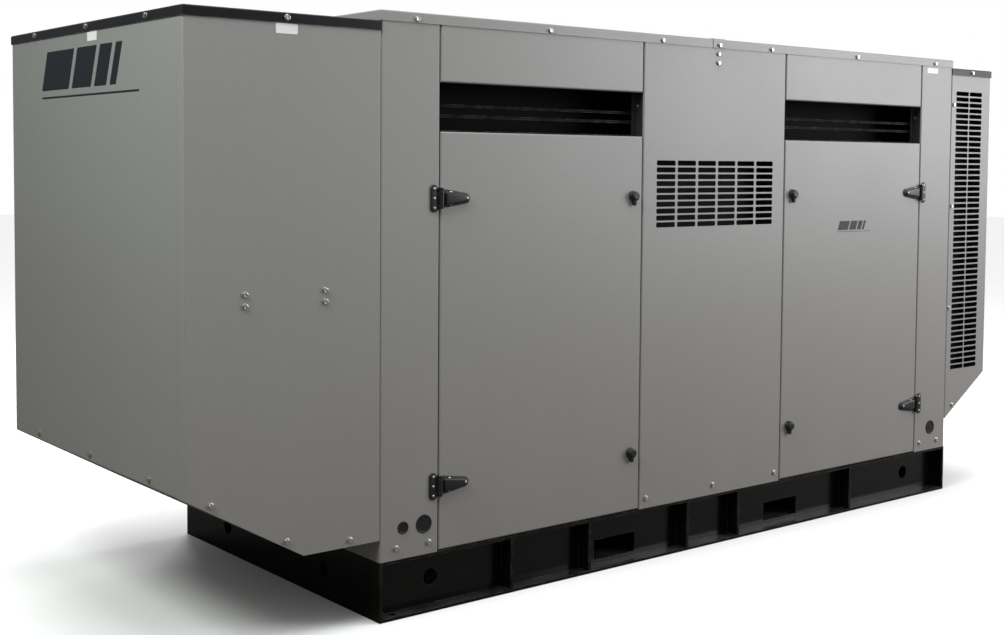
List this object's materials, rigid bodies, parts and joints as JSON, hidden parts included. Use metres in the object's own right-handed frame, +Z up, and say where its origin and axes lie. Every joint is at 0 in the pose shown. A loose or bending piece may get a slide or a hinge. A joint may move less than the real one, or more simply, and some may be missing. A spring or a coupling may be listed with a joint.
{
  "type": "home standby generator",
  "caption": "Standby generator in a sheet-metal enclosure with hinged service doors, end air hoods and a channel skid with fork pockets.",
  "frame": {"origin": "on the floor under the middle of the whole set, hoods and bolt heads included", "axes": "+Z up, +X along the set towards the air intake hood, -Y out of the service front that the picture shows"},
  "size_m": [3.643, 1.2596, 1.74],
  "materials": {
    "enclosure_paint": "satin powder coat",
    "skid_black": "gloss paint",
    "cap_black": "satin powder coat",
    "hardware_black": "satin",
    "bolt_zinc": "bright zinc",
    "plug_plastic": "matte",
    "engine_iron": "painted casting",
    "pan_black": "satin",
    "exhaust_steel": "aluminised, heat tinted",
    "alternator_paint": "painted casting",
    "cleaner_plastic": "moulded",
    "radiator_black": "matt painted fins",
    "fan_plastic": "moulded",
    "rubber_black": "matte",
    "machined_steel": "machined",
    "cabinet_paint": "satin powder coat",
    "button_red": "gloss",
    "handle_plastic": "gloss",
    "battery_plastic": "moulded",
    "regulator_aluminium": "die cast"
  },
  "bodies": {
    "frame": {"air_baffles": "cap_black", "air_cleaner": "cleaner_plastic", "alternator_housing": "alternator_paint", "battery": "battery_plastic", "centre_panel_front": "enclosure_paint", "centre_panel_rear": "enclosure_paint", "control_cabinet": "cabinet_paint", "corner_post_front_left": "enclosure_paint", "corner_post_front_right": "enclosure_paint", "corner_post_rear_left": "enclosure_paint", "corner_post_rear_right": "enclosure_paint", "cylinder_head": "engine_iron", "end_wall_left": "enclosure_paint", "end_wall_right": "enclosure_paint", "engine_block": "engine_iron", "engine_mounts": "rubber_black", "exhaust_pipe": "exhaust_steel", "fan_belt": "rubber_black", "floor_tray": "skid_black", "fuel_regulator": "regulator_aluminium", "header_panels": "enclosure_paint", "hinge_plates": "hardware_black", "hood_left_cap": "cap_black", "hood_left_end": "enclosure_paint", "hood_left_sides": "enclosure_paint", "hood_right_cap": "cap_black", "hood_right_end": "enclosure_paint", "hood_right_sides": "enclosure_paint", "knockout_plugs": "plug_plastic", "muffler": "exhaust_steel", "oil_pan": "pan_black", "panel_bolts": "bolt_zinc", "radiator": "radiator_black", "roof_joint_strap": "enclosure_paint", "roof_panel_left": "enclosure_paint", "roof_panel_right": "enclosure_paint", "skid_crossmembers": "skid_black", "skid_end_plates": "skid_black", "skid_rail_front": "skid_black", "skid_rail_rear": "skid_black"},
    "door_front_left": {"door_front_left": "enclosure_paint", "hinge_straps_front_left": "hardware_black"},
    "latch_front_left_upper": {"latch_front_left_upper": "hardware_black"},
    "latch_front_left_lower": {"latch_front_left_lower": "hardware_black"},
    "door_front_right": {"door_front_right": "enclosure_paint", "hinge_straps_front_right": "hardware_black"},
    "latch_front_right_upper": {"latch_front_right_upper": "hardware_black"},
    "latch_front_right_lower": {"latch_front_right_lower": "hardware_black"},
    "door_rear_left": {"door_rear_left": "enclosure_paint", "hinge_straps_rear_left": "hardware_black"},
    "latch_rear_left_upper": {"latch_rear_left_upper": "hardware_black"},
    "latch_rear_left_lower": {"latch_rear_left_lower": "hardware_black"},
    "door_rear_right": {"door_rear_right": "enclosure_paint", "hinge_straps_rear_right": "hardware_black"},
    "latch_rear_right_upper": {"latch_rear_right_upper": "hardware_black"},
    "latch_rear_right_lower": {"latch_rear_right_lower": "hardware_black"},
    "crankshaft": {"crankshaft_rotor": "machined_steel"},
    "fan": {"cooling_fan": "fan_plastic"},
    "stop_button": {"e_stop_button": "button_red"},
    "breaker_lever": {"breaker_handle": "handle_plastic"}
  },
  "joints": [
    {"name": "door_front_left_hinge", "type": "hinge", "parent": "frame", "child": "door_front_left", "pos_m": [-1.008, -0.6175, 0.7895], "axis": [0, 0, -1], "range_deg": [0, 110]},
    {"name": "latch_front_left_upper_turn", "type": "hinge", "parent": "door_front_left", "child": "latch_front_left_upper", "pos_m": [-0.2345, -0.6095, 1.209], "axis": [0, 1, 0], "range_deg": [0, 90]},
    {"name": "latch_front_left_lower_turn", "type": "hinge", "parent": "door_front_left", "child": "latch_front_left_lower", "pos_m": [-0.2345, -0.6095, 0.37], "axis": [0, 1, 0], "range_deg": [0, 90]},
    {"name": "door_front_right_hinge", "type": "hinge", "parent": "frame", "child": "door_front_right", "pos_m": [1.333, -0.6175, 0.7895], "axis": [0, 0, 1], "range_deg": [0, 110]},
    {"name": "latch_front_right_upper_turn", "type": "hinge", "parent": "door_front_right", "child": "latch_front_right_upper", "pos_m": [0.5595, -0.6095, 1.209], "axis": [0, -1, 0], "range_deg": [0, 90]},
    {"name": "latch_front_right_lower_turn", "type": "hinge", "parent": "door_front_right", "child": "latch_front_right_lower", "pos_m": [0.5595, -0.6095, 0.37], "axis": [0, -1, 0], "range_deg": [0, 90]},
    {"name": "door_rear_left_hinge", "type": "hinge", "parent": "frame", "child": "door_rear_left", "pos_m": [-1.008, 0.6175, 0.7895], "axis": [0, 0, 1], "range_deg": [0, 110]},
    {"name": "latch_rear_left_upper_turn", "type": "hinge", "parent": "door_rear_left", "child": "latch_rear_left_upper", "pos_m": [-0.2345, 0.6095, 1.209], "axis": [0, 1, 0], "range_deg": [0, 90]},
    {"name": "latch_rear_left_lower_turn", "type": "hinge", "parent": "door_rear_left", "child": "latch_rear_left_lower", "pos_m": [-0.2345, 0.6095, 0.37], "axis": [0, 1, 0], "range_deg": [0, 90]},
    {"name": "door_rear_right_hinge", "type": "hinge", "parent": "frame", "child": "door_rear_right", "pos_m": [1.333, 0.6175, 0.7895], "axis": [0, 0, -1], "range_deg": [0, 110]},
    {"name": "latch_rear_right_upper_turn", "type": "hinge", "parent": "door_rear_right", "child": "latch_rear_right_upper", "pos_m": [0.5595, 0.6095, 1.209], "axis": [0, -1, 0], "range_deg": [0, 90]},
    {"name": "latch_rear_right_lower_turn", "type": "hinge", "parent": "door_rear_right", "child": "latch_rear_right_lower", "pos_m": [0.5595, 0.6095, 0.37], "axis": [0, -1, 0], "range_deg": [0, 90]},
    {"name": "crankshaft_spin", "type": "hinge", "parent": "frame", "child": "crankshaft", "pos_m": [0.2, 0, 0.56], "axis": [1, 0, 0], "continuous": true},
    {"name": "fan_spin", "type": "hinge", "parent": "frame", "child": "fan", "pos_m": [-1, 0, 0.76], "axis": [1, 0, 0], "continuous": true},
    {"name": "stop_button_push", "type": "slide", "parent": "frame", "child": "stop_button", "axis": [0, 1, 0], "range_m": [0, 0.006], "stiffness_N_per_m": 400},
    {"name": "breaker_lever_throw", "type": "hinge", "parent": "frame", "child": "breaker_lever", "pos_m": [0.9375, -0.405, 0.68], "axis": [1, 0, 0], "range_deg": [0, 50]}
  ],
  "couplings": [
    {"joint": "fan_spin", "follows": "crankshaft_spin", "ratio": 1.2}
  ]
}
